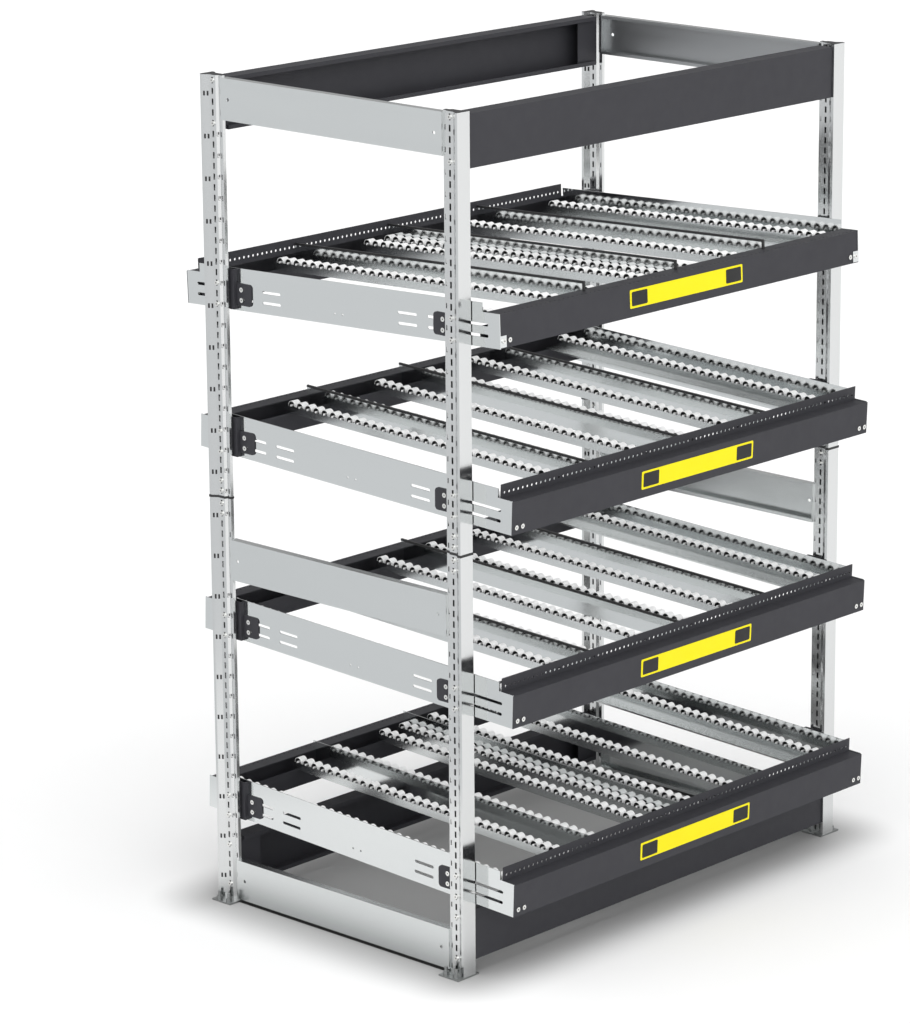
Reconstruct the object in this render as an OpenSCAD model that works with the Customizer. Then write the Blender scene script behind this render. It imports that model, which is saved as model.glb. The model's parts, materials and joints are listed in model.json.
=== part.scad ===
// Tilting shelf rack: a free-standing frame that carries four levels of roller tracks.
// X runs along the front, Y to the back and Z up, with the origin on the floor below the middle.
// The top level falls to the back, and the three below it fall to the front.

/* [Frame] */
// Width over the posts
rack_width = 1358; // [1100:2:1700]
// Depth over the posts
rack_depth = 814; // [790:2:840]
// Length of the lower part of a post
lower_post_length = 1000; // [975:25:1050]
// Length of the upper part of a post
upper_post_length = 1000; // [900:25:1200]

/* [Posts] */
// Width of the plain head of a post
post_head_width = 40; // [38:1:44]
// Depth of a post from its head to its tail
post_depth = 56; // [54:1:60]
// Width over the slotted webs of a post
post_web_width = 21.5; // [20:0.5:24]
// Width of the tail of a post
post_tail_width = 9; // [7:1:11]
// Wall thickness of a post
post_wall = 1.5; // [1:0.1:2]
// Distance between the slots up a post
slot_pitch = 25; // [24.5:0.5:25.5]
// Height of the lowest slot above the lower end of a part of a post
first_slot = 12.5; // [12:0.5:14]
// Height of a slot
slot_height = 15; // [12:0.5:16]

/* [Feet] */
// Width of a base plate
base_plate_width = 70; // [66:1:80]
// Depth of a base plate
base_plate_depth = 62; // [58:1:70]
// Thickness of a base plate
base_plate_thickness = 4; // [3:0.5:6]

/* [Beams] */
// Height of a side beam
side_beam_height = 98; // [80:1:110]
// Width of a side beam across its flanges
side_beam_width = 20; // [16:1:22]
// Distance from the joint of the posts down to the lower edge of the middle side beams
middle_beam_drop = 196; // [150:1:210]
// Height of a long beam
long_beam_height = 122; // [114:1:124]
// Depth of a long beam
long_beam_depth = 44; // [40:1:46]
// Height of the lower edge of the bottom long beams
bottom_beam_level = 35; // [33:1:38]
// Sheet thickness of the beams
beam_wall = 2; // [1.5:0.1:2.5]

/* [Levels] */
// Slot of the upper post that holds the rear of the top level, counted from its lowest slot
level_1_slot = 20; // [19:1:23]
// Slot of the upper post that holds the rear of the second level
level_2_slot = 6; // [6:1:8]
// Slot of the lower post that holds the rear of the third level
level_3_slot = 28; // [26:1:28]
// Slot of the lower post that holds the rear of the lowest level
level_4_slot = 10; // [10:1:14]
// Slots by which the front of a level is set higher or lower than its rear
tilt_steps = 1; // [0:1:1]

/* [Shelves] */
// Length of a shelf from front to back
shelf_length = 1004; // [970:2:1030]
// Height of a side rail
rail_height = 100; // [98:1:104]
// Height of the tilt screws above the lower edge of a side rail
rail_pivot_height = 51; // [48:0.5:52]
// Height of the face of a cross member
face_height = 77; // [74:0.5:78]
// Depth of the ledge on a cross member
ledge_depth = 40; // [36:1:42]
// Depth of the ledge at the front of the top level
loading_ledge_depth = 50; // [44:1:54]
// Height of the lip that stops the boxes
lip_height = 33; // [24:1:38]
// Distance between the holes along a lip
lip_hole_pitch = 15; // [12:1:20]
// Sheet thickness of the rails and cross members
sheet = 2; // [1.5:0.1:2.2]

/* [Rollers] */
// Diameter of a roller
roller_diameter = 22; // [20:0.5:25]
// Width of a roller
roller_width = 21; // [16:0.5:24]
// Distance between the rollers along a track
roller_pitch = 28; // [26:0.5:32]
// Diameter of the stub axles of a roller
axle_diameter = 5; // [4:0.5:6]
// Wall thickness of a roller track
track_wall = 1.5; // [1:0.1:1.6]

/* [Dividers] */
// Height of a divider sheet
divider_height = 52.5; // [40:0.5:54]
// Thickness of a divider sheet
divider_sheet = 2; // [1.5:0.1:2.5]
// Width of the edging on a divider
edging_width = 5; // [4.5:0.1:6]

/* [Fits] */
// Gap around a pin in its hole
pin_gap = 0.3; // [0.2:0.05:0.35]
// Gap above and below a tilt screw in the slots of a rail
tilt_gap = 0.5; // [0.5:0.05:0.7]
// Gap between a roller and the walls of its track
roller_gap = 1; // [0.6:0.1:1.5]
// Gap between faces that slide on each other
slide_gap = 0.3; // [0.2:0.05:0.4]
// Gap between the shelves and the heads of the posts
shelf_gap = 2; // [1.5:0.1:3]

/* [Hidden] */
$fn = 48;
eps = 0.1;
levels = [1 : 4];
sides = [-1, 1];

// Plan of a post: half widths, and depths measured inward from its plain outer face
head_half = post_head_width / 2;
web_half = post_web_width / 2;
tail_half = post_tail_width / 2;
head_depth = 7;
web_start = 20.5;
web_tail_length = 14.5;
web_end = post_depth - web_tail_length;
tail_length = 10;
tail_start = post_depth - tail_length;
slot_depth = (web_start + web_end) / 2;
slot_width = 5.2;
right_outline = [
    [head_half, 0],
    [head_half, head_depth],
    [web_half, web_start],
    [web_half, web_end],
    [tail_half, tail_start],
    [tail_half, post_depth]
];
left_outline = [for (i = [5 : -1 : 0]) [-right_outline[i][0], right_outline[i][1]]];
post_outline = concat(right_outline, left_outline);

// Punches between the slots
punch_width = 3;
tail_punch_height = 12;

// Post positions and heights
post_x = rack_width / 2 - head_half;
splice_thickness = 5.5;
splice_reach = 60;
splice_overhang = 1;
cap_thickness = 1;
cap_plug = 8;
slot_margin = 4;
post_bottom = base_plate_thickness;
splice_bottom = post_bottom + lower_post_length;
splice_top = splice_bottom + splice_thickness;
post_top = splice_top + upper_post_length;
rack_height = post_top + cap_thickness;

// Feet
foot_overhang = 21;
foot_margin = 2;
anchor_diameter = 8;
anchor_top = 24;
anchor_x = -head_half - foot_overhang / 2;
anchor_depths = [14, 46];
washer_diameter = 16;
washer_thickness = 1.5;

// Screws: head diameter and height, shank diameter, nut width across corners and height
head_height = 3;
frame_head = 11;
frame_shank = 4.8;
frame_nut = 9.2;
shelf_head = 11.5;
shelf_shank = 6;
shelf_nut = 11.5;
nut_height = 4;
shank_end = 2;

// Side beams lie between the tails of the posts
side_beam_length = rack_depth - 2 * post_depth;
side_beam_lip = 8;
side_beam_hole = 8;
side_beam_hole_inset = 24;
top_side_gap = 5;
top_side_level = rack_height - top_side_gap - side_beam_height;
middle_side_level = splice_bottom - middle_beam_drop;
bottom_side_level = 8;

// Long beams lie between the heads of the posts, with a tongue on the web of each post
long_beam_start = 6;
long_beam_end_gap = 0.5;
long_beam_lip = 10;
tongue_thickness = 2.5;
tongue_reach = 70;
tongue_gap = 0.5;
tongue_start = web_start + tongue_gap;
tongue_depth = 42;
tongue_margin = 4;
top_long_gap = 8;
top_long_level = rack_height - top_long_gap - long_beam_height;

// Levels: height of the rear tilt screws, slope, and how the shelf lies across the frame
level_slots = [level_1_slot, level_2_slot, level_3_slot, level_4_slot];
front_steps = [tilt_steps, -tilt_steps, -tilt_steps, -tilt_steps];
screw_drop = 14.2;
slot_slack = (slot_height - frame_shank) / 2 - eps;
pivot_inset = 84;
pivot_y = rack_depth / 2 - pivot_inset;
pivot_span = 2 * pivot_y;
shelf_centres = [10, -26, -26, -26];

// Brackets
bracket_plate = 2.5;
bracket_up = 47;
bracket_down = 48;
bracket_bend = 66;
ear_up = 14;
ear_down = 38;
ear_end = 115;
ear_corner = 9;
arc_half_angle = 10;

// Rails: outer face, slots by their distance from the middle, notches and end tabs
rail_x = rack_width / 2 - post_head_width - shelf_gap;
rail_bottom = -rail_pivot_height;
tilt_slot_height = shelf_shank + 2 * tilt_gap;
long_slot_reach = 42;
long_slot_margin = 35;
long_slot = [pivot_y - long_slot_reach, shelf_length / 2 - long_slot_margin];
short_slot_reaches = [134.5, 74.5];
short_slot = [pivot_y - short_slot_reaches[0], pivot_y - short_slot_reaches[1]];
rail_hole = 5;
rail_hole_offset = 12.7;
lip_notch = 45;
plain_notch = 50;
notch_depth = rail_height - face_height - sheet;
tab_width = 19;
tab_gap = 0.5;
tab_bottom = sheet + tab_gap;
tab_top = 29;
shelf_screw_height = 17;
shelf_screw_insets = [12, 32];

// Cross members: an inner leg carries the tracks and dividers
member_gap = 0.3;
member_half = rail_x - sheet - member_gap;
leg_seat = 8;
leg_height = 46;
lip_hole = 6.5;
lip_hole_height = 13;
ledge_hole = 4;
ledge_hole_inset = 10;

// Lanes: the dividers stand at a quarter, a half and three quarters of the width
lane_width = rail_x / 2;
divider_places = [-1, 0, 1];
edged_levels = [1, 2, 3];

// Tracks, each placed by the divider or rail beside it, as a count of lanes, and its distance from it
track_width = roller_width + 2 * (roller_gap + track_wall);
track_places = [[-2, 44], [-1, -63], [-1, 59], [0, -86], [0, 88], [1, -70], [2, -53]];
extra_track_gap = 1;
extra_track_x = -(divider_sheet + track_width) / 2 - extra_track_gap;
extra_track_levels = [1, 4];
axle_rise = 19.5;
axle_height = leg_height + axle_rise;
axle_cover = 0.8;
track_top = axle_height + axle_diameter / 2 + pin_gap + axle_cover;
track_end_gap = 2;
track_start = ledge_depth + track_end_gap;
rim_thickness = 1.3;
rim_inner = roller_diameter / 2 - rim_thickness;
web_half_width = 1.5;
axle_half_length = track_width / 2 - 0.2;
strip_width = 50;
strip_thickness = 2;
strip_gap = 1;
rib_count = 5;
rib_width = 2;

// Edging along the tops of the dividers
edging_drop = 4;
edging_rise = 1.5;
edging_gap = 0.1;
divider_reach = 34;

// Colours
galvanised = "gainsboro";
anthracite = "dimgray";
white = "white";
black = "black";
zinc = "silver";

FRAME_NODES = [
    "front_left_post", "front_right_post", "rear_left_post", "rear_right_post",
    "post_splices", "post_caps", "base_plates", "foot_bolts",
    "top_side_beams", "middle_side_beams", "bottom_side_beams",
    "top_long_beams", "bottom_long_beams", "frame_screws",
    "rear_brackets", "rear_tilt_screws"
];
SHELF_NODES = [
    "side_rails", "front_member", "rear_member", "roller_tracks", "rollers", "spinning_rollers",
    "dividers", "shelf_screws", "front_brackets", "front_tilt_screws"
];

// Helpers

function unit(v) = v / norm(v);
function normal(v) = [-v[1], v[0]];

// Draws a counterclockwise outline in by a distance
function inset(points, distance) = [
    for (i = [0 : len(points) - 1])
        let (
            before = points[(i + len(points) - 1) % len(points)],
            after = points[(i + 1) % len(points)],
            n = normal(unit(points[i] - before)),
            m = normal(unit(after - points[i]))
        )
        points[i] + distance * (n + m) / (1 + n * m)
];

// Slots of a part of a post that starts at a height
function slot_z(start, index) = start + first_slot + slot_pitch * index;
function slot_count(length) =
    floor((length - first_slot - slot_height / 2 - slot_margin) / slot_pitch) + 1;

// Heights of the lowest and the highest slot that the tongue of a long beam covers
function tongue_slots(start, length, level) =
    let (
        low = level + tongue_margin - start - first_slot,
        high = level + long_beam_height - tongue_margin - start - first_slot,
        first = max(0, ceil(low / slot_pitch)),
        last = min(slot_count(length) - 1, floor(high / slot_pitch))
    )
    [slot_z(start, first), slot_z(start, last)];

bottom_screws = tongue_slots(post_bottom, lower_post_length, bottom_beam_level);
top_screws = tongue_slots(splice_top, upper_post_length, top_long_level);

// The two slots below the joint of a post and the two above it
splice_screws = [
    slot_z(post_bottom, slot_count(lower_post_length) - 2),
    slot_z(post_bottom, slot_count(lower_post_length) - 1),
    slot_z(splice_top, 0),
    slot_z(splice_top, 1)
];

// The upper two levels hang on the upper posts, and the second one rests low in its slots
function rear_slot_z(level) = slot_z(level <= 2 ? splice_top : post_bottom, level_slots[level - 1]);
function rear_height(level) = rear_slot_z(level) - screw_drop - (level == 2 ? slot_slack : 0);
function front_height(level) = rear_height(level) + slot_pitch * front_steps[level - 1];
function tilt(level) = -atan(slot_pitch * front_steps[level - 1] / pivot_span);

// True where a level falls to the back, so that its lip is at the back
function falls_back(level) = level == 1;

function track_x(place) = place[0] * lane_width + place[1];
function track_xs(level) = concat(
    [for (place = track_places) track_x(place)],
    [for (i = extra_track_levels) if (i == level) extra_track_x]
);

// Tracks of a level, which end at its plain ledge
function plain_ledge(level) = falls_back(level) ? loading_ledge_depth : ledge_depth;
function track_finish(level) = sheet + plain_ledge(level) + track_end_gap;
function track_length(level) = shelf_length - track_start - track_finish(level);
function roller_count(level) = floor((track_length(level) - roller_diameter) / roller_pitch) + 1;
function roller_margin(level) = (track_length(level) - (roller_count(level) - 1) * roller_pitch) / 2;
function roller_y(level, index) = roller_margin(level) + index * roller_pitch;

// Ends of the top of a divider, measured from the front of the tracks
function divider_span(level) = falls_back(level)
    ? [divider_reach - track_finish(level), track_length(level)]
    : [0, track_length(level) + track_finish(level) - divider_reach];

// Places a front left piece at a corner of the frame, with X and Y running inward from the post
module corner(side, end) {
    translate([side * post_x, end * rack_depth / 2, 0])
        mirror([side > 0 ? 1 : 0, 0, 0])
            mirror([0, end > 0 ? 1 : 0, 0])
                children();
}

module all_corners() {
    for (side = sides) {
        for (end = sides) {
            corner(side, end) children();
        }
    }
}

// Places a piece in the tilted frame of a level, with Z up from the lower edge of its rails
module on_shelf(level) {
    translate([0, pivot_y, rear_height(level)])
        rotate([tilt(level), 0, 0])
            translate([0, shelf_centres[level - 1] - pivot_y, rail_bottom])
                children();
}

// Places a piece that is measured inward from the lip end of a level
module from_lip(level) {
    on_shelf(level)
        mirror([0, falls_back(level) ? 1 : 0, 0])
            translate([0, -shelf_length / 2, 0])
                children();
}

// Places a piece that is measured inward from the plain end of a level
module from_plain_end(level) {
    on_shelf(level)
        mirror([0, falls_back(level) ? 0 : 1, 0])
            translate([0, -shelf_length / 2, 0])
                children();
}

module box(low, high) {
    translate(low) cube(high - low);
}

module rod_x(from, to, diameter) {
    translate([from, 0, 0]) rotate([0, 90, 0]) cylinder(d = diameter, h = to - from);
}

module rod_y(from, to, diameter) {
    translate([0, from, 0]) rotate([-90, 0, 0]) cylinder(d = diameter, h = to - from);
}

module hexagon_x(from, to, corners) {
    translate([from, 0, 0]) rotate([0, 90, 0]) cylinder(d = corners, h = to - from, $fn = 6);
}

module hexagon_y(from, to, corners) {
    translate([0, from, 0]) rotate([-90, 0, 0]) cylinder(d = corners, h = to - from, $fn = 6);
}

// A slot with round ends along Y, cut through a sheet that lies square to X
module round_slot(from, to, height, thickness) {
    box([0, from + height / 2, -height / 2], [thickness, to - height / 2, height / 2]);
    translate([0, from + height / 2, 0]) rod_x(0, thickness, height);
    translate([0, to - height / 2, 0]) rod_x(0, thickness, height);
}

// Posts

module post_part(start, length) {
    slot_reach = web_half + eps;
    last = slot_count(length) - 1;
    difference() {
        translate([0, 0, start]) linear_extrude(length) {
            difference() {
                polygon(post_outline);
                polygon(inset(post_outline, post_wall));
            }
        }
        for (i = [0 : last]) {
            translate([0, slot_depth, slot_z(start, i)])
                cube([2 * slot_reach, slot_width, slot_height], center = true);
        }
        for (i = [0 : 2 : last]) {
            translate([0, (tail_start + post_depth) / 2, slot_z(start, i)])
                cube([2 * web_half, punch_width, tail_punch_height], center = true);
        }
    }
}

module post(side, end) {
    color(galvanised) corner(side, end) {
        post_part(post_bottom, lower_post_length);
        post_part(splice_top, upper_post_length);
    }
}

module post_splices() {
    color(black) all_corners() {
        difference() {
            union() {
                translate([0, 0, splice_bottom])
                    linear_extrude(splice_thickness) polygon(inset(post_outline, -splice_overhang));
                translate([0, 0, splice_bottom - splice_reach])
                    linear_extrude(2 * splice_reach + splice_thickness)
                        polygon(inset(post_outline, post_wall + pin_gap));
            }
            for (z = splice_screws) {
                translate([0, slot_depth, z])
                    rod_x(-web_half, web_half, frame_shank + 2 * pin_gap);
            }
        }
    }
}

module post_caps() {
    color(black) all_corners() {
        translate([0, 0, post_top]) linear_extrude(cap_thickness) polygon(post_outline);
        translate([0, 0, post_top - cap_plug])
            linear_extrude(cap_plug + eps) polygon(inset(post_outline, post_wall + pin_gap));
    }
}

// Feet

module base_plates() {
    low_x = -head_half - foot_overhang;
    color(galvanised) all_corners() {
        difference() {
            box(
                [low_x, -foot_margin, 0],
                [low_x + base_plate_width, base_plate_depth - foot_margin, base_plate_thickness]
            );
            for (depth = anchor_depths) {
                translate([anchor_x, depth, -eps])
                    cylinder(d = anchor_diameter + 2 * pin_gap, h = base_plate_thickness + 2 * eps);
            }
        }
    }
}

module foot_bolts() {
    nut_corners = 15;
    nut_top = base_plate_thickness + washer_thickness + 7;
    color(zinc) all_corners() {
        for (depth = anchor_depths) {
            translate([anchor_x, depth, 0]) {
                cylinder(d = anchor_diameter, h = anchor_top);
                translate([0, 0, base_plate_thickness])
                    cylinder(d = washer_diameter, h = washer_thickness);
                translate([0, 0, base_plate_thickness])
                    cylinder(d = nut_corners, h = nut_top - base_plate_thickness, $fn = 6);
            }
        }
    }
}

// Beams

module side_beams(level) {
    half = side_beam_width / 2;
    half_length = side_beam_length / 2;
    inner_lip = half - beam_wall;
    hole_y = half_length - side_beam_hole_inset;
    color(galvanised) {
        for (side = sides) {
            translate([side * post_x, 0, level]) mirror([side > 0 ? 1 : 0, 0, 0]) {
                difference() {
                    box([-half, -half_length, 0], [half, half_length, side_beam_height]);
                    box(
                        [-half + beam_wall, -half_length + beam_wall, beam_wall],
                        [inner_lip, half_length - beam_wall, side_beam_height - beam_wall]
                    );
                    box(
                        [inner_lip - eps, -half_length + beam_wall, side_beam_lip],
                        [half + eps, half_length - beam_wall, side_beam_height - side_beam_lip]
                    );
                    for (end = sides) {
                        translate([0, end * hole_y, side_beam_height / 2])
                            rod_x(-half - eps, 0, side_beam_hole);
                    }
                }
            }
        }
    }
}

module top_side_beams() {
    side_beams(top_side_level);
}

module middle_side_beams() {
    side_beams(middle_side_level);
}

module bottom_side_beams() {
    side_beams(bottom_side_level);
}

module long_beam_tongue(level, screws) {
    low = level + beam_wall / 2;
    high = level + long_beam_height - beam_wall / 2;
    difference() {
        union() {
            box([web_half, tongue_start, low], [web_half + tongue_thickness, tongue_depth, high]);
            box(
                [web_half, tongue_depth - tongue_thickness, low],
                [web_half + tongue_reach, tongue_depth, high]
            );
        }
        for (z = screws) {
            translate([0, slot_depth, z])
                rod_x(web_half - eps, web_half + 2 * tongue_thickness, frame_shank + 2 * pin_gap);
        }
    }
}

module long_beams(level, screws) {
    half = post_x - head_half - long_beam_end_gap;
    back = long_beam_start + long_beam_depth;
    inner_lip = back - beam_wall;
    top = level + long_beam_height;
    color(anthracite) {
        for (end = sides) {
            translate([0, end * rack_depth / 2, 0]) mirror([0, end > 0 ? 1 : 0, 0]) {
                difference() {
                    box([-half, long_beam_start, level], [half, back, top]);
                    box(
                        [-half - eps, long_beam_start + beam_wall, level + beam_wall],
                        [half + eps, inner_lip, top - beam_wall]
                    );
                    box(
                        [-half - eps, inner_lip - eps, level + long_beam_lip],
                        [half + eps, back + eps, top - long_beam_lip]
                    );
                }
            }
            for (side = sides) {
                corner(side, end) long_beam_tongue(level, screws);
            }
        }
    }
}

module top_long_beams() {
    long_beams(top_long_level, top_screws);
}

module bottom_long_beams() {
    long_beams(bottom_beam_level, bottom_screws);
}

// A screw through both webs of a post, with its head outside and its nut at a depth inside
module frame_screw(grip) {
    rod_x(-web_half - head_height, -web_half, frame_head);
    rod_x(-web_half - eps, grip + nut_height + shank_end, frame_shank);
    hexagon_x(grip, grip + nut_height, frame_nut);
}

module frame_screws() {
    color(zinc) all_corners() {
        for (z = concat(bottom_screws, top_screws)) {
            translate([0, slot_depth, z]) frame_screw(web_half + tongue_thickness);
        }
        for (z = splice_screws) {
            translate([0, slot_depth, z]) frame_screw(web_half);
        }
    }
    color(zinc) {
        for (side = sides) {
            for (level = levels) {
                for (i = [0, 2]) {
                    corner(side, 1)
                        translate([0, slot_depth, rear_height(level) + screw_drop - i * slot_pitch])
                            frame_screw(web_half + bracket_plate);
                }
            }
        }
    }
}

// Brackets: a plate on the post, bent out to an ear beside the rail

ear_face = post_x - rail_x - slide_gap;

module arc_slot(radius, width, from, to) {
    rotate([0, 90, 0]) {
        translate([0, 0, from]) {
            rotate([0, 0, -arc_half_angle]) {
                rotate_extrude(angle = 2 * arc_half_angle) {
                    translate([radius - width / 2, 0]) square([width, to - from]);
                }
            }
            for (side = sides) {
                rotate([0, 0, side * arc_half_angle])
                    translate([radius, 0, 0])
                        cylinder(d = width, h = to - from);
            }
        }
    }
}

module bracket(height, gap) {
    inner = web_half + gap;
    screw_hole = shelf_shank + 2 * pin_gap;
    post_hole = frame_shank + 2 * pin_gap;
    ear_back = ear_face - bracket_plate;
    translate([0, 0, height]) {
        difference() {
            union() {
                box([inner, tongue_start, -bracket_down], [inner + bracket_plate, bracket_bend, bracket_up]);
                box(
                    [inner, bracket_bend - bracket_plate, -bracket_down],
                    [ear_face, bracket_bend, bracket_up]
                );
                box([ear_back, bracket_bend - eps, -ear_down], [ear_face, ear_end - ear_corner, ear_up]);
                box(
                    [ear_back, ear_end - ear_corner - eps, -ear_down + ear_corner],
                    [ear_face, ear_end, ear_up - ear_corner]
                );
                for (z = [ear_corner - ear_down, ear_up - ear_corner]) {
                    translate([0, ear_end - ear_corner, z]) rod_x(ear_back, ear_face, 2 * ear_corner);
                }
            }
            translate([0, pivot_inset, 0]) rod_x(ear_back - eps, ear_face + eps, screw_hole);
            translate([0, pivot_inset, 0]) arc_slot(slot_pitch, screw_hole, ear_back - eps, ear_face + eps);
            for (i = [0, 2]) {
                translate([0, slot_depth, screw_drop - i * slot_pitch])
                    rod_x(inner - eps, inner + bracket_plate + eps, post_hole);
            }
        }
    }
}

module rear_brackets() {
    color(anthracite) {
        for (side = sides) {
            for (level = levels) {
                corner(side, 1) bracket(rear_height(level), 0);
            }
        }
    }
}

module front_brackets(level) {
    color(anthracite) {
        for (side = sides) {
            corner(side, -1) bracket(front_height(level), slide_gap);
        }
    }
}

// A tilt screw through the ear of a bracket and a slot of the rail
module tilt_screw() {
    ear_back = ear_face - bracket_plate;
    nut_start = ear_face + 2 * slide_gap + sheet;
    rod_x(ear_back - head_height, ear_back, shelf_head);
    rod_x(ear_back - eps, nut_start + nut_height + shank_end, shelf_shank);
    hexagon_x(nut_start, nut_start + nut_height, shelf_nut);
}

module tilt_screws(height) {
    for (drop = [0, slot_pitch]) {
        translate([0, pivot_inset, height - drop]) tilt_screw();
    }
}

module rear_tilt_screws() {
    color(zinc) {
        for (side = sides) {
            for (level = levels) {
                corner(side, 1) tilt_screws(rear_height(level));
            }
        }
    }
}

module front_tilt_screws(level) {
    inner = web_half + slide_gap;
    nut_start = inner + bracket_plate;
    color(zinc) {
        for (side = sides) {
            corner(side, -1) {
                tilt_screws(front_height(level));
                for (i = [0, 2]) {
                    translate([0, slot_depth, front_height(level) + screw_drop - i * slot_pitch]) {
                        rod_x(-web_half - slide_gap - head_height, -web_half - slide_gap, frame_head);
                        rod_x(inner, nut_start + nut_height + shank_end, frame_shank);
                        hexagon_x(nut_start, nut_start + nut_height, frame_nut);
                    }
                }
            }
        }
    }
}

// Shelves

module side_rail() {
    lip_end = -shelf_length / 2 + sheet;
    plain_end = shelf_length / 2;
    cut = sheet + 2 * eps;
    screw_inset = shelf_screw_insets[0];
    difference() {
        union() {
            box([0, lip_end, 0], [sheet, plain_end, rail_height]);
            box([0, lip_end, tab_bottom], [tab_width + sheet, lip_end + sheet, tab_top]);
            box([0, plain_end - sheet, tab_bottom], [tab_width + sheet, plain_end, tab_top]);
        }
        for (end = sides) {
            mirror([0, end > 0 ? 1 : 0, 0]) {
                box(
                    [-eps, -shelf_length, rail_height - notch_depth],
                    [sheet + eps, (end > 0 ? plain_notch : lip_notch) - shelf_length / 2, rail_height + eps]
                );
                for (row = [0, slot_pitch]) {
                    translate([-eps, 0, rail_pivot_height - row]) {
                        round_slot(-long_slot[1], -long_slot[0], tilt_slot_height, cut);
                        round_slot(-short_slot[1], -short_slot[0], tilt_slot_height, cut);
                    }
                }
                translate([0, rail_hole_offset, rail_pivot_height - slot_pitch])
                    rod_x(-eps, sheet + eps, rail_hole);
                translate([screw_inset, 0, shelf_screw_height])
                    rod_y(-shelf_length / 2 - eps, -shelf_length / 2 + 3 * sheet, shelf_shank + 2 * pin_gap);
            }
        }
    }
}

module side_rails(level) {
    color(galvanised) {
        for (side = sides) {
            on_shelf(level)
                mirror([0, falls_back(level) ? 1 : 0, 0])
                    mirror([side > 0 ? 1 : 0, 0, 0])
                        translate([-rail_x, 0, 0])
                            side_rail();
        }
    }
}

// Drills the screw holes at both ends of the face of a cross member
module member_screw_holes() {
    for (side = sides) {
        for (screw_inset = shelf_screw_insets) {
            translate([side * (rail_x - screw_inset), 0, shelf_screw_height])
                rod_y(-eps, 3 * sheet, shelf_shank + 2 * pin_gap);
        }
    }
}

function hole_places(pitch) =
    let (count = floor((2 * member_half - pitch) / pitch))
    [for (i = [0 : count]) (i - count / 2) * pitch];

// The folded sheet of a cross member, with its face at a depth from the end of the shelf
module member_fold(face_start, ledge, leg_end) {
    ledge_end = face_start + ledge;
    box([-member_half, face_start, 0], [member_half, face_start + sheet, face_height]);
    box([-member_half, face_start, face_height - sheet], [member_half, ledge_end, face_height]);
    box([-member_half, face_start, 0], [member_half, leg_end, sheet]);
    box([-member_half, leg_end - sheet, 0], [member_half, leg_end, leg_height]);
}

module lip_member() {
    difference() {
        union() {
            member_fold(0, ledge_depth, track_start + leg_seat);
            box([-rail_x, 0, 0], [rail_x, sheet, face_height]);
            box(
                [-member_half, ledge_depth - sheet, face_height - sheet],
                [member_half, ledge_depth, face_height + lip_height]
            );
        }
        member_screw_holes();
        for (x = hole_places(lip_hole_pitch)) {
            translate([x, 0, face_height + lip_hole_height])
                rod_y(ledge_depth - sheet - eps, ledge_depth + eps, lip_hole);
        }
    }
}

module plain_member(level) {
    difference() {
        member_fold(sheet, plain_ledge(level), track_finish(level) + leg_seat);
        member_screw_holes();
        for (x = hole_places(lip_hole_pitch)) {
            translate([x, sheet + ledge_hole_inset, face_height - sheet - eps])
                cylinder(d = ledge_hole, h = sheet + 2 * eps);
        }
    }
}

module front_member(level) {
    color(anthracite) {
        if (falls_back(level)) {
            from_plain_end(level) plain_member(level);
        } else {
            from_lip(level) lip_member();
        }
    }
}

module rear_member(level) {
    color(anthracite) {
        if (falls_back(level)) {
            from_lip(level) lip_member();
        } else {
            from_plain_end(level) plain_member(level);
        }
    }
}

module shelf_screw(head_start, grip) {
    rod_y(head_start - head_height, head_start, shelf_head);
    rod_y(head_start - eps, grip + nut_height + shank_end, shelf_shank);
    hexagon_y(grip, grip + nut_height, shelf_nut);
}

module shelf_screws(level) {
    outer_x = rail_x - shelf_screw_insets[0];
    inner_x = rail_x - shelf_screw_insets[1];
    color(zinc) {
        for (side = sides) {
            from_lip(level) {
                translate([side * outer_x, 0, shelf_screw_height]) shelf_screw(0, 2 * sheet);
                translate([side * inner_x, 0, shelf_screw_height]) shelf_screw(0, sheet);
            }
            from_plain_end(level) {
                translate([side * outer_x, 0, shelf_screw_height]) shelf_screw(0, 2 * sheet);
                translate([side * inner_x, 0, shelf_screw_height]) shelf_screw(sheet, 2 * sheet);
            }
        }
    }
}

// Tracks and rollers, measured from the front of the tracks

module from_track_front(level) {
    if (falls_back(level)) {
        from_plain_end(level) translate([0, track_finish(level), 0]) children();
    } else {
        from_lip(level) translate([0, track_start, 0]) children();
    }
}

module roller_track(level) {
    half = track_width / 2;
    inner = half - track_wall;
    length = track_length(level);
    difference() {
        box([-half, 0, leg_height], [half, length, track_top]);
        box([-inner, -eps, leg_height + track_wall], [inner, length + eps, track_top + eps]);
        for (i = [0 : roller_count(level) - 1]) {
            translate([0, roller_y(level, i), axle_height])
                rod_x(-half - eps, half + eps, axle_diameter + 2 * pin_gap);
        }
    }
}

// A ribbed sliding strip beside the last track
module ribbed_strip(length) {
    rib_pitch = (strip_width - rib_width) / (rib_count - 1);
    box([0, 0, leg_height], [strip_width, length, leg_height + strip_thickness]);
    for (i = [0 : rib_count - 1]) {
        box(
            [i * rib_pitch, 0, leg_height],
            [i * rib_pitch + rib_width, length, leg_height + 2 * strip_thickness]
        );
    }
}

module roller_tracks(level) {
    last_x = track_x(track_places[len(track_places) - 1]);
    strip_x = last_x - track_width / 2 - strip_gap - strip_width;
    color(galvanised) from_track_front(level) {
        for (x = track_xs(level)) {
            translate([x, 0, 0]) roller_track(level);
        }
        translate([strip_x, 0, 0]) ribbed_strip(track_length(level));
    }
}

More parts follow.
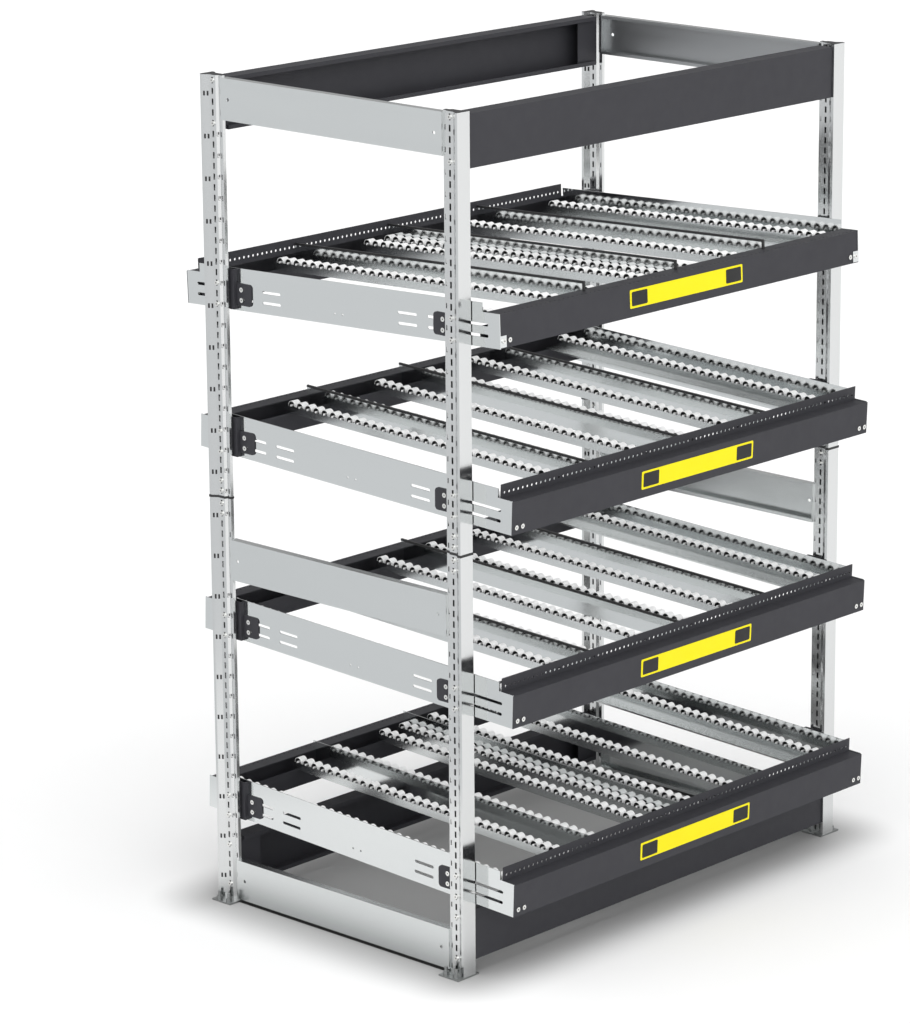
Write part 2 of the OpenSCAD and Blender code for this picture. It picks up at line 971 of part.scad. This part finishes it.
module roller() {
    half = roller_width / 2;
    rotate([0, 90, 0]) {
        rotate_extrude() {
            polygon([
                [0, -axle_half_length],
                [axle_diameter / 2, -axle_half_length],
                [axle_diameter / 2, -web_half_width],
                [rim_inner, -half],
                [roller_diameter / 2, -half],
                [roller_diameter / 2, half],
                [rim_inner, half],
                [axle_diameter / 2, web_half_width],
                [axle_diameter / 2, axle_half_length],
                [0, axle_half_length]
            ]);
        }
    }
}

module roller_row(level, index) {
    from_track_front(level) {
        for (x = track_xs(level)) {
            translate([x, roller_y(level, index), axle_height]) roller();
        }
    }
}

module rollers(level) {
    color(white) {
        for (i = [1 : roller_count(level) - 1]) {
            roller_row(level, i);
        }
    }
}

// The first row of rollers, at the front
module spinning_rollers(level) {
    color(white) roller_row(level, 0);
}

// Dividers

// A divider stands on the legs, and its top reaches out over the plain ledge
module dividers(level) {
    half = divider_sheet / 2;
    top = leg_height + divider_height;
    span = divider_span(level);
    color(galvanised) {
        for (place = divider_places) {
            from_track_front(level) translate([place * lane_width, 0, 0]) {
                box([-half, 0, leg_height], [half, track_length(level), top]);
                box([-half, span[0], face_height], [half, span[1], top]);
            }
        }
    }
}

// Edging along the top of a divider, and down its front end where that end is open
module divider_edges(level) {
    outer = edging_width / 2;
    inner = divider_sheet / 2 + edging_gap;
    top = leg_height + divider_height;
    span = divider_span(level);
    color(black) {
        for (place = divider_places) {
            from_track_front(level) translate([place * lane_width, 0, 0]) {
                difference() {
                    union() {
                        box([-outer, span[0], top - edging_drop], [outer, span[1], top + edging_rise]);
                        if (falls_back(level)) {
                            box(
                                [-outer, span[0] - edging_rise, face_height + edging_gap],
                                [outer, span[0] + edging_drop, top + edging_rise]
                            );
                        }
                    }
                    box([-inner, span[0], leg_height], [inner, span[1] + eps, top]);
                }
            }
        }
    }
}

post(-1, -1);  // front_left_post
post(1, -1);  // front_right_post
post(-1, 1);  // rear_left_post
post(1, 1);  // rear_right_post
post_splices();
post_caps();
base_plates();
foot_bolts();
top_side_beams();
middle_side_beams();
bottom_side_beams();
top_long_beams();
bottom_long_beams();
frame_screws();
rear_brackets();
rear_tilt_screws();
for (level = levels) {
    side_rails(level);
    front_member(level);
    rear_member(level);
    roller_tracks(level);
    rollers(level);
    spinning_rollers(level);
    dividers(level);
    shelf_screws(level);
    front_brackets(level);
    front_tilt_screws(level);
}
for (level = edged_levels) {
    divider_edges(level);
}
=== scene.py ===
"""Looks of a tilting shelf rack: materials, marker strips, floor, room light and camera."""
import json
import math
from collections import namedtuple

import bmesh
import bpy
from mathutils import Matrix, Vector


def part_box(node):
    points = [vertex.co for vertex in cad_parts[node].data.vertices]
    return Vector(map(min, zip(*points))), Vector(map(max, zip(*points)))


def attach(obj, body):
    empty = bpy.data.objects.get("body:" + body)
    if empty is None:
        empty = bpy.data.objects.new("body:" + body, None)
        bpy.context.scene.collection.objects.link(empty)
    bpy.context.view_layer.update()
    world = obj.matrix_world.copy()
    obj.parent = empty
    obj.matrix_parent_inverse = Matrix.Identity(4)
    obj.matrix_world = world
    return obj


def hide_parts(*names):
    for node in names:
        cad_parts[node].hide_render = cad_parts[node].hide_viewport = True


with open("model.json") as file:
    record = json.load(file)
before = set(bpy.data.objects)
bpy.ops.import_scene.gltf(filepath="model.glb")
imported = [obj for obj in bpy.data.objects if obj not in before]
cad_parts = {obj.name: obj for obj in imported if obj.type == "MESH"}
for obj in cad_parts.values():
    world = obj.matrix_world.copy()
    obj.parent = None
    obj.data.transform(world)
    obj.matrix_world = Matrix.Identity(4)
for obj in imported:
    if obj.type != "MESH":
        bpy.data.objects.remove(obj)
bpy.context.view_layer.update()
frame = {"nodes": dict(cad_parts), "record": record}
scene = bpy.context.scene
UP = Vector((0.0, 0.0, 1.0))

# Camera: viewing angle in degrees, and the place and lens that give the photograph's frame
VIEW_AZIMUTH = -48.309
VIEW_ELEVATION = 14.621
CAMERA_PLACE = Vector((-7.2539, -6.6470, 3.5462))
IMAGE_WIDTH = 910
FOCAL_PIXELS = 4208.2
SHIFT_X = -0.1469
SHIFT_Y = -0.0340
SENSOR_WIDTH = 36.0
CLIP_END = 200.0

# Marker strip on the face of each front member, in metres in the plane of that face
STRIP_LEFT = -0.200
STRIP_RIGHT = 0.200
STRIP_BOTTOM = 0.020
STRIP_TOP = 0.063
STRIP_THICKNESS = 0.0006
STRIP_MARGIN = 0.005
STRIP_FIELDS = ((-0.194, -0.140), (0.140, 0.194))
STRIP_CORNER = 0.003
CORNER_STEPS = 4

# Floor: white near the rack, and grey beyond a distance in metres along a direction to the left
FLOOR_HALF = 40.0
FLOOR_LEFTWARD = (-0.763, 0.647, 0.0)
FLOOR_WHITE_END = 1.3
FLOOR_GREY_START = 1.9
FLOOR_WHITE = (0.93, 0.93, 0.93)
FLOOR_GREY = (0.64, 0.65, 0.66)
FLOOR_ROUGHNESS = 0.8
FLOOR_SPECULAR = 0.1

# Soft shade on the floor under the rack, which ends a little outside the posts
SHADE_HALF_WIDTH = 0.66
SHADE_HALF_DEPTH = 0.39
SHADE_REACH = 0.21
SHADE_TONE = 0.45

# Painted shade on the floor in the narrow gap under the bottom side beams: half its width in metres, and
# its tone
GAP_HALF_WIDTH = 0.010
GAP_TONE = 0.12

# Brightness of the room: its middle value, and how much it rises to the front left and falls behind
ROOM_MIDDLE = 1.16
ROOM_CHANGE = 0.80
ROOM_LEAST = 0.25
ROOM_BRIGHT_SIDE = (-0.60, -0.78, 0.10)
ROOM_COLOUR = (1.0, 1.0, 1.0, 1.0)

# A face looks inward where its normal along X times its distance from the middle in metres is below this
INWARD_LIMIT = -0.5

# Slope along X of the hollow end faces of a roller, as the size of its part of the normal
HOLLOW_LOW = 0.3
HOLLOW_HIGH = 0.9

# Tops of the track walls, below the middle of the axles, in metres
WALL_DROP = 0.001
WELD = 0.000001

# Posts, in metres: the lower ends of their two parts
POST_PARTS = (0.005, 1.0105)

# The punches and the cut tabs of the posts are thin dark plates: painted shade in their holes and slits
# Pairs of punches on the slopes of the posts, in metres: the slope's ends across and along a post,
# the first pair above the lower end of a post part, and the step between the pairs
SLOPE_HEAD = (0.020, 0.007)
SLOPE_WEB = (0.01075, 0.0205)
PUNCH_FIRST = 0.055
PUNCH_STEP = 0.1
PUNCH_COUNT = 10
PUNCH_HALF_WIDTH = 0.0022
PUNCH_HALF_HEIGHT = 0.0055
PUNCH_OFFSET = 0.0042
PUNCH_THICKNESS = 0.0002

# The cuts of the tabs are drawn as thin dark plates: painted shade in the slits
# Cut tabs on the outer slope between the web and the tail of a post, in metres: the slope's ends,
# the lowest tab and the step, the free height beside a beam, and each cut's place and half size
TAIL_WEB = (0.01075, 0.0415)
TAIL_EDGE = (0.0045, 0.046)
TAB_FIRST = 0.0125
TAB_STEP = 0.05
TAB_COUNT = 20
TAB_CLEAR = 0.012
TAB_CUTS = (
    (0.0012, 0.0012, 0.0013, 0.0030),
    (-0.0024, -0.0005, 0.0004, 0.0048),
    (-0.0006, -0.0050, 0.0020, 0.0004),
)

# Star-shaped drive recess in the middle of each screw head, drawn as a thin dark plate of painted shade,
# in metres
HEAD_LEAST_WIDTH = 0.0105
RECESS_RADIUS = 0.0020
RECESS_INNER_SHARE = 0.72
RECESS_LOBES = 6
RECESS_THICKNESS = 0.00015
END_PLANE = 0.0001

# Tilt of each level at rest, in degrees, positive where the front is low: one step of the post slots
# over the distance between the front and the rear brackets, in millimetres
SLOT_STEP = 25
BRACKET_SPAN = 646
STEP_TILT = math.degrees(math.atan(SLOT_STEP / BRACKET_SPAN))
LEVEL_TILT = {1: -STEP_TILT, 2: STEP_TILT, 3: STEP_TILT, 4: STEP_TILT}

# Kinds of surface: scale per metre and detail of the noise in the tone and in the roughness, scale,
# strength and depth in metres of the fine grain, and the shader's metallic and specular values
Kind = namedtuple("Kind", "tone rough grain strength depth metallic specular")
METAL = Kind((3.0, 2.0), (9.0, 2.0), 30.0, 0.008, 0.00005, 1.0, 0.5)
POWDER_COAT = Kind((9.0, 4.0), (30.0, 3.0), 900.0, 0.10, 0.0004, 0.0, 0.25)
LIGHT_PLASTIC = Kind((40.0, 3.0), (80.0, 2.0), 500.0, 0.08, 0.0003, 0.0, 0.5)
DARK_PLASTIC = LIGHT_PLASTIC._replace(grain=600.0)
FOIL = Kind((25.0, 3.0), (60.0, 2.0), 120.0, 0.05, 0.0003, 0.0, 0.2)
GRAIN_DETAIL = 2.0
FOIL_ROUGH = (0.38, 0.5)

# Part of the range of a noise that is spread over the range of a roughness
NOISE_LOW = 0.3
NOISE_HIGH = 0.7

# Stretch of the noise along each axis: even, along the height of a post, and along the depth of the rack
EVEN = (1.0, 1.0, 1.0)
UPRIGHT = (2.0, 2.0, 0.5)
ALONG_DEPTH = (1.0, 0.3, 2.0)


def new_material(name):
    """A material with a shader joined to its output, and the tree of its nodes."""
    material = bpy.data.materials.new(name)
    material.use_nodes = True
    tree = material.node_tree
    tree.nodes.clear()
    shader = tree.nodes.new("ShaderNodeBsdfPrincipled")
    output = tree.nodes.new("ShaderNodeOutputMaterial")
    tree.links.new(shader.outputs["BSDF"], output.inputs["Surface"])
    return material, tree, shader


def position(tree, scale):
    """Object coordinates stretched by a scale along each axis."""
    coordinates = tree.nodes.new("ShaderNodeTexCoord")
    mapping = tree.nodes.new("ShaderNodeMapping")
    mapping.inputs["Scale"].default_value = scale
    tree.links.new(coordinates.outputs["Object"], mapping.inputs["Vector"])
    return mapping.outputs["Vector"]


def noise(tree, scale, detail, stretch):
    """Noise of a scale per metre, as a value from 0 to 1."""
    node = tree.nodes.new("ShaderNodeTexNoise")
    node.inputs["Scale"].default_value = scale
    node.inputs["Detail"].default_value = detail
    tree.links.new(position(tree, stretch), node.inputs["Vector"])
    return node.outputs["Fac"]


def map_range(tree, value, start, end, low, high):
    """A node that maps a value from one range to another."""
    node = tree.nodes.new("ShaderNodeMapRange")
    node.inputs["From Min"].default_value = start
    node.inputs["From Max"].default_value = end
    node.inputs["To Min"].default_value = low
    node.inputs["To Max"].default_value = high
    tree.links.new(value, node.inputs["Value"])
    return node


def smooth_rise(tree, value, start, end, low):
    """A value that rises softly from low to 1 between a start and an end."""
    node = map_range(tree, value, start, end, low, 1.0)
    node.interpolation_type = "SMOOTHSTEP"
    return node.outputs["Result"]


def blend(tree, value, first, second):
    """A colour between two colours."""
    node = tree.nodes.new("ShaderNodeMix")
    node.data_type = "RGBA"
    node.inputs["A"].default_value = (*first, 1.0)
    node.inputs["B"].default_value = (*second, 1.0)
    tree.links.new(value, node.inputs["Factor"])
    return node.outputs["Result"]


def bump(tree, shader, height, strength, distance):
    """Fine relief on a shader, with its depth in metres."""
    node = tree.nodes.new("ShaderNodeBump")
    node.inputs["Strength"].default_value = strength
    node.inputs["Distance"].default_value = distance
    tree.links.new(height, node.inputs["Height"])
    tree.links.new(node.outputs["Normal"], shader.inputs["Normal"])


def surface(name, kind, dark, light, rough, stretch=EVEN):
    """A material with slight changes of tone and roughness and a fine grain."""
    material, tree, shader = new_material(name)
    tone = blend(tree, noise(tree, *kind.tone, stretch), dark, light)
    tree.links.new(tone, shader.inputs["Base Color"])
    change = noise(tree, *kind.rough, stretch)
    roughness = map_range(tree, change, NOISE_LOW, NOISE_HIGH, *rough)
    tree.links.new(roughness.outputs["Result"], shader.inputs["Roughness"])
    shader.inputs["Metallic"].default_value = kind.metallic
    shader.inputs["Specular IOR Level"].default_value = kind.specular
    grain = noise(tree, kind.grain, GRAIN_DETAIL, stretch)
    bump(tree, shader, grain, kind.strength, kind.depth)
    return material


def foil(name, dark, light):
    """A foil, or a dark plate of painted shade, with a soft gloss."""
    return surface(name, FOIL, dark, light, FOIL_ROUGH)


materials = {
    "bright_steel": surface(
        "bright_steel", METAL, (0.67, 0.68, 0.68), (0.70, 0.71, 0.71), (0.13, 0.16), UPRIGHT
    ),
    "galvanised": surface(
        "galvanised", METAL, (0.66, 0.68, 0.68), (0.69, 0.71, 0.71), (0.22, 0.26), ALONG_DEPTH
    ),
    "zinc": surface(
        "zinc", METAL, (0.74, 0.74, 0.72), (0.80, 0.80, 0.78), (0.16, 0.22), (4.0, 4.0, 4.0)
    ),
    "anthracite": surface(
        "anthracite", POWDER_COAT, (0.031, 0.031, 0.036), (0.036, 0.036, 0.042), (0.52, 0.62)
    ),
    "white_plastic": surface(
        "white_plastic", LIGHT_PLASTIC, (0.87, 0.87, 0.87), (0.92, 0.92, 0.92), (0.32, 0.45)
    ),
    "black_plastic": surface(
        "black_plastic", DARK_PLASTIC, (0.010, 0.010, 0.011), (0.020, 0.020, 0.021), (0.42, 0.58)
    ),
}
glossy_sheet = surface(
    "glossy_sheet", METAL, (0.69, 0.71, 0.71), (0.72, 0.74, 0.74), (0.09, 0.11), ALONG_DEPTH
)
foot_steel = surface(
    "foot_steel", METAL, (0.30, 0.31, 0.31), (0.36, 0.37, 0.37), (0.34, 0.40), (3.0, 3.0, 3.0)
)
# A rougher and darker copy of the galvanised steel; its darker tone is painted shade on the inward faces
# of the top side beams
shaded_inner_sheet = surface(
    "shaded_inner_sheet", METAL, (0.40, 0.41, 0.42), (0.44, 0.45, 0.46), (0.34, 0.40), ALONG_DEPTH
)
# A near-black copy of the white plastic for the hollow ends of the rollers: painted shade in the deep
# hollows
shaded_roller_hollow = surface(
    "shaded_roller_hollow", LIGHT_PLASTIC, (0.010, 0.010, 0.010), (0.018, 0.018, 0.018), (0.30, 0.42)
)
marker_yellow = foil("marker_yellow", (0.76, 0.66, 0.002), (0.80, 0.70, 0.003))
marker_dark = foil("marker_dark", (0.016, 0.016, 0.016), (0.026, 0.026, 0.026))
# Thin dark plates of painted shade in the punched holes and cut slits of the posts
painted_punch_shade = foil("painted_punch_shade", (0.020, 0.020, 0.021), (0.030, 0.030, 0.031))
# A thin dark plate of painted shade in the drive recess of each screw head
painted_recess_shade = foil("painted_recess_shade", (0.085, 0.085, 0.082), (0.110, 0.110, 0.106))

for entry in frame["record"]["subparts"]:
    mesh = frame["nodes"][entry["node"]].data
    mesh.materials.clear()
    finish = materials[entry["material_slot"]]
    if entry["node"].startswith(("dividers_", "side_rails_")):
        finish = glossy_sheet
    elif entry["node"] in ("base_plates", "foot_bolts"):
        finish = foot_steel
    mesh.materials.append(finish)

# The faces of the top side beams that look inward are rougher and darker than those that look outward;
# the darker tone is painted shade
side_beams = frame["nodes"]["top_side_beams"].data
side_beams.materials.append(shaded_inner_sheet)
for face in side_beams.polygons:
    face.material_index = 1 if face.normal.x * face.center.x < INWARD_LIMIT else 0

# The hollow end faces of the rollers are painted dark as shade in the deep hollows: only they slope
# along X
for name, node in frame["nodes"].items():
    if "rollers_" in name:
        node.data.materials.append(shaded_roller_hollow)
        for face in node.data.polygons:
            face.material_index = 1 if HOLLOW_LOW < abs(face.normal.x) < HOLLOW_HIGH else 0


def prism(body, inner, outer):
    """Adds the solid between two outlines with the same number of points."""
    first = [body.verts.new(point) for point in inner]
    second = [body.verts.new(point) for point in outer]
    body.faces.new(first)
    body.faces.new(second)
    count = len(first)
    for i in range(count):
        after = (i + 1) % count
        body.faces.new((first[i], first[after], second[after], second[i]))


def add_piece(body, name, material):
    """Turns a mesh in work into a piece of the scene."""
    bmesh.ops.recalc_face_normals(body, faces=body.faces)
    mesh = bpy.data.meshes.new(name)
    body.to_mesh(mesh)
    body.free()
    mesh.materials.append(material)
    piece = bpy.data.objects.new(name, mesh)
    scene.collection.objects.link(piece)
    return piece


def rounded_outline(left, right, bottom, top, radius):
    """Points of a rectangle with round corners, counterclockwise."""
    corners = (
        (right - radius, bottom + radius, -90),
        (right - radius, top - radius, 0),
        (left + radius, top - radius, 90),
        (left + radius, bottom + radius, 180),
    )
    points = []
    for x, z, start in corners:
        for step in range(CORNER_STEPS + 1):
            angle = math.radians(start + 90 * step / CORNER_STEPS)
            points.append((x + radius * math.cos(angle), z + radius * math.sin(angle)))
    return points


def plate(name, outline, thickness, place, material):
    """A thin plate that stands out of the plane y = 0 towards the front, moved to its place."""
    body = bmesh.new()
    back = [place @ Vector((x, 0.0, z)) for x, z in outline]
    front = [place @ Vector((x, -thickness, z)) for x, z in outline]
    prism(body, back, front)
    return add_piece(body, name, material)


def tilt_of(level):
    """The turn of a level at rest."""
    return Matrix.Rotation(math.radians(LEVEL_TILT[level]), 4, "X")


def flat_points(name, level):
    """A node's points with the tilt of its level taken out."""
    back = tilt_of(level).inverted()
    return [back @ vertex.co for vertex in frame["nodes"][name].data.vertices]


def face_place(level):
    """Where the lower edge of a front member's face lies, with its tilt."""
    flat = flat_points(f"front_member_{level}", level)
    corner = Vector((0.0, min(point.y for point in flat), min(point.z for point in flat)))
    return tilt_of(level) @ Matrix.Translation(corner)


def open_tracks(level):
    """A level's tracks with walls that end at the axles, so that these lie in open notches."""
    name = f"roller_tracks_{level}"
    heights = [point.z for point in flat_points(f"rollers_{level}", level)]
    wall_top = (min(heights) + max(heights)) / 2 - WALL_DROP
    body = bmesh.new()
    body.from_mesh(frame["nodes"][name].data)
    bmesh.ops.remove_doubles(body, verts=body.verts, dist=WELD)
    bmesh.ops.bisect_plane(
        body,
        geom=[*body.verts, *body.edges, *body.faces],
        plane_co=tilt_of(level) @ (wall_top * UP),
        plane_no=tilt_of(level) @ UP,
        clear_outer=True,
    )
    rims = [edge for edge in body.edges if edge.is_boundary]
    bmesh.ops.holes_fill(body, edges=rims, sides=0)
    piece = add_piece(body, f"open_tracks_{level}", materials["galvanised"])
    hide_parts(name)
    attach(piece, f"shelf_{level}")


def slope(first, second, hand):
    """The middle of a slope between two edges of a post, its direction and its outward normal."""
    along = (second - first).normalized()
    out = along.cross(UP)
    if out.x * hand < 0:
        out = -out
    return (first + second) / 2, along, out


def thin_box(body, centre, along, out, half_width, half_height):
    """Adds a thin box that stands out of a slope."""
    corners = [
        centre + across * half_width * along + rise * half_height * UP
        for across, rise in ((-1, -1), (1, -1), (1, 1), (-1, 1))
    ]
    prism(body, corners, [corner + PUNCH_THICKNESS * out for corner in corners])


def post_punches(name, side, end):
    """Thin dark plates of painted shade in the punches on both slopes beside a post's head, and in the
    cut tabs on its outer tail slope.
    """
    low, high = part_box(name)
    middle = (low[0] + high[0]) / 2
    face = low[1] if end < 0 else high[1]
    beams = [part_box(f"{place}_side_beams") for place in ("top", "middle", "bottom")]

    def edge(hand, plan):
        """An edge of the post from its place across and along the post."""
        return Vector((middle + hand * plan[0], face - end * plan[1], 0.0))

    body = bmesh.new()
    for hand in (-1, 1):
        centre, along, out = slope(edge(hand, SLOPE_HEAD), edge(hand, SLOPE_WEB), hand)
        for start in POST_PARTS:
            for count in range(PUNCH_COUNT):
                height = start + PUNCH_FIRST + count * PUNCH_STEP
                for place in (-PUNCH_OFFSET, PUNCH_OFFSET):
                    spot = centre + place * along + height * UP
                    thin_box(body, spot, along, out, PUNCH_HALF_WIDTH, PUNCH_HALF_HEIGHT)
    centre, along, out = slope(edge(side, TAIL_WEB), edge(side, TAIL_EDGE), side)
    for start in POST_PARTS:
        for count in range(TAB_COUNT):
            height = start + TAB_FIRST + count * TAB_STEP
            if any(beam[0][2] - TAB_CLEAR < height < beam[1][2] + TAB_CLEAR for beam in beams):
                continue
            for place, rise, half_width, half_height in TAB_CUTS:
                spot = centre + place * along + (height + rise) * UP
                thin_box(body, spot, along, out, half_width, half_height)
    piece = add_piece(body, f"{name}_punches", painted_punch_shade)
    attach(piece, "frame")


def islands(body):
    """The separate solids of a mesh, each as a list of its points."""
    seen = set()
    groups = []
    for first in body.verts:
        if first in seen:
            continue
        seen.add(first)
        waiting = [first]
        group = []
        while waiting:
            vertex = waiting.pop()
            group.append(vertex.co.copy())
            for edge in vertex.link_edges:
                other = edge.other_vert(vertex)
                if other not in seen:
                    seen.add(other)
                    waiting.append(other)
        groups.append(group)
    return groups


def screw_recesses(name, body_name, tilt, axis):
    """A thin dark plate of painted shade in the recess on the outer end of each screw of a node, along X
    (axis 0) or Y (axis 1).
    """
    source = bmesh.new()
    source.from_mesh(frame["nodes"][name].data)
    bmesh.ops.remove_doubles(source, verts=source.verts, dist=WELD)
    back = tilt.inverted()
    across = 1 - axis
    body = bmesh.new()
    for group in islands(source):
        points = [back @ point for point in group]
        values = [point[axis] for point in points]
        sign = 1 if sum(values) > 0 else -1
        end = max(value * sign for value in values)
        cap = [point for point in points if abs(point[axis] * sign - end) < END_PLANE]
        sides = [point[across] for point in cap]
        heights = [point.z for point in cap]
        if max(heights) - min(heights) < HEAD_LEAST_WIDTH:
            continue
        side_middle = (min(sides) + max(sides)) / 2
        height_middle = (min(heights) + max(heights)) / 2
        inner = []
        outer = []
        for count in range(2 * RECESS_LOBES):
            angle = math.pi * count / RECESS_LOBES
            radius = RECESS_RADIUS * (RECESS_INNER_SHARE if count % 2 else 1.0)
            corner = Vector((0.0, 0.0, height_middle + radius * math.sin(angle)))
            corner[across] = side_middle + radius * math.cos(angle)
            corner[axis] = sign * end
            inner.append(tilt @ corner)
            corner[axis] = sign * (end + RECESS_THICKNESS)
            outer.append(tilt @ corner)
        prism(body, inner, outer)
    source.free()
    piece = add_piece(body, f"{name}_recesses", painted_recess_shade)
    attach(piece, body_name)


def marker_strip(level):
    """The yellow strip on a front member, with a dark field near each end."""
    place = face_place(level)
    strip = plate(
        f"marker_strip_{level}",
        rounded_outline(STRIP_LEFT, STRIP_RIGHT, STRIP_BOTTOM, STRIP_TOP, STRIP_CORNER),
        STRIP_THICKNESS,
        place,
        marker_yellow,
    )
    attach(strip, f"shelf_{level}")
    bottom = STRIP_BOTTOM + STRIP_MARGIN
    top = STRIP_TOP - STRIP_MARGIN
    for count, (left, right) in enumerate(STRIP_FIELDS, 1):
        field = plate(
            f"marker_field_{level}_{count}",
            rounded_outline(left, right, bottom, top, STRIP_CORNER),
            2 * STRIP_THICKNESS,
            place,
            marker_dark,
        )
        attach(field, f"shelf_{level}")


for level in LEVEL_TILT:
    open_tracks(level)
    marker_strip(level)
    screw_recesses(f"shelf_screws_{level}", f"shelf_{level}", tilt_of(level), 1)
    screw_recesses(
        f"front_tilt_screws_{level}", f"front_bracket_pair_{level}", Matrix.Identity(4), 0
    )
for name in ("frame_screws", "rear_tilt_screws"):
    screw_recesses(name, "frame", Matrix.Identity(4), 0)
for name, side, end in (
    ("front_left_post", -1, -1),
    ("front_right_post", 1, -1),
    ("rear_left_post", -1, 1),
    ("rear_right_post", 1, 1),
):
    post_punches(name, side, end)


def add_camera():
    """The photograph's viewpoint."""
    azimuth = math.radians(VIEW_AZIMUTH)
    elevation = math.radians(VIEW_ELEVATION)
    back = Vector((
        math.sin(azimuth) * math.cos(elevation),
        -math.cos(azimuth) * math.cos(elevation),
        math.sin(elevation),
    ))
    right = (-back).cross(UP).normalized()
    turn = Matrix((right, right.cross(-back), back)).transposed().to_4x4()
    data = bpy.data.cameras.new("camera")
    data.sensor_fit = "HORIZONTAL"
    data.sensor_width = SENSOR_WIDTH
    data.lens = FOCAL_PIXELS / IMAGE_WIDTH * SENSOR_WIDTH
    data.shift_x = SHIFT_X
    data.shift_y = SHIFT_Y
    data.clip_end = CLIP_END
    camera = bpy.data.objects.new("camera", data)
    camera.matrix_world = Matrix.Translation(CAMERA_PLACE) @ turn
    scene.collection.objects.link(camera)
    scene.camera = camera


def calculate(tree, operation, *values):
    """The result of an operation on outputs of nodes or plain numbers."""
    node = tree.nodes.new("ShaderNodeMath")
    node.operation = operation
    for socket, value in zip(node.inputs, values):
        if isinstance(value, bpy.types.NodeSocket):
            tree.links.new(value, socket)
        else:
            socket.default_value = value
    return node.outputs[0]


def reach_along(tree, vector, direction):
    """How far a vector goes along a direction."""
    node = tree.nodes.new("ShaderNodeVectorMath")
    node.operation = "DOT_PRODUCT"
    node.inputs[1].default_value = direction
    tree.links.new(vector, node.inputs[0])
    return node.outputs["Value"]


def outside(tree, value, half):
    """How far a coordinate lies outside the range from -half to half."""
    reach = calculate(tree, "SUBTRACT", calculate(tree, "ABSOLUTE", value), half)
    return calculate(tree, "MAXIMUM", reach, 0.0)


def gap_shade(tree, split):
    """A value of 1 that falls to the tone of the painted shade in the gap under the bottom side beams.
    """
    low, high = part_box("bottom_side_beams")
    across = calculate(tree, "ABSOLUTE", split.outputs["X"])
    under = calculate(tree, "COMPARE", across, high[0] - GAP_HALF_WIDTH, GAP_HALF_WIDTH)
    middle = (low[1] + high[1]) / 2
    half = (high[1] - low[1]) / 2
    between = calculate(tree, "COMPARE", split.outputs["Y"], middle, half)
    both = calculate(tree, "MULTIPLY", under, between)
    return calculate(tree, "MULTIPLY_ADD", both, GAP_TONE - 1.0, 1.0)


def floor_shade(tree):
    """A value that rises from the shade's tone under the rack to 1 a little outside it."""
    split = tree.nodes.new("ShaderNodeSeparateXYZ")
    tree.links.new(position(tree, EVEN), split.inputs["Vector"])
    join = tree.nodes.new("ShaderNodeCombineXYZ")
    tree.links.new(outside(tree, split.outputs["X"], SHADE_HALF_WIDTH), join.inputs["X"])
    tree.links.new(outside(tree, split.outputs["Y"], SHADE_HALF_DEPTH), join.inputs["Y"])
    distance = tree.nodes.new("ShaderNodeVectorMath")
    distance.operation = "LENGTH"
    tree.links.new(join.outputs["Vector"], distance.inputs[0])
    shade = smooth_rise(tree, distance.outputs["Value"], 0.0, SHADE_REACH, SHADE_TONE)
    return calculate(tree, "MULTIPLY", shade, gap_shade(tree, split))


def add_floor():
    """A white floor with soft shade under the rack, which grows grey far out to the left."""
    material, tree, shader = new_material("floor")
    reach = reach_along(tree, position(tree, EVEN), FLOOR_LEFTWARD)
    change = smooth_rise(tree, reach, FLOOR_WHITE_END, FLOOR_GREY_START, 0.0)
    shaded = tree.nodes.new("ShaderNodeVectorMath")
    shaded.operation = "SCALE"
    tree.links.new(blend(tree, change, FLOOR_WHITE, FLOOR_GREY), shaded.inputs[0])
    tree.links.new(floor_shade(tree), shaded.inputs["Scale"])
    tree.links.new(shaded.outputs["Vector"], shader.inputs["Base Color"])
    shader.inputs["Roughness"].default_value = FLOOR_ROUGHNESS
    shader.inputs["Specular IOR Level"].default_value = FLOOR_SPECULAR
    corners = [(x * FLOOR_HALF, y * FLOOR_HALF, 0) for x, y in ((-1, -1), (1, -1), (1, 1), (-1, 1))]
    mesh = bpy.data.meshes.new("floor")
    mesh.from_pydata(corners, [], [(0, 1, 2, 3)])
    mesh.materials.append(material)
    floor = bpy.data.objects.new("floor", mesh)
    scene.collection.objects.link(floor)


def add_sky():
    """A white room that is brighter at the front left than behind."""
    world = bpy.data.worlds.new("room")
    world.use_nodes = True
    tree = world.node_tree
    tree.nodes.clear()
    coordinates = tree.nodes.new("ShaderNodeTexCoord")
    towards = reach_along(tree, coordinates.outputs["Generated"], ROOM_BRIGHT_SIDE)
    rise = calculate(tree, "MULTIPLY_ADD", towards, ROOM_CHANGE, ROOM_MIDDLE)
    strength = calculate(tree, "MAXIMUM", rise, ROOM_LEAST)
    background = tree.nodes.new("ShaderNodeBackground")
    background.inputs["Color"].default_value = ROOM_COLOUR
    tree.links.new(strength, background.inputs["Strength"])
    output = tree.nodes.new("ShaderNodeOutputWorld")
    tree.links.new(background.outputs["Background"], output.inputs["Surface"])
    scene.world = world


add_camera()
add_floor()
add_sky()
scene.view_settings.view_transform = "Standard"
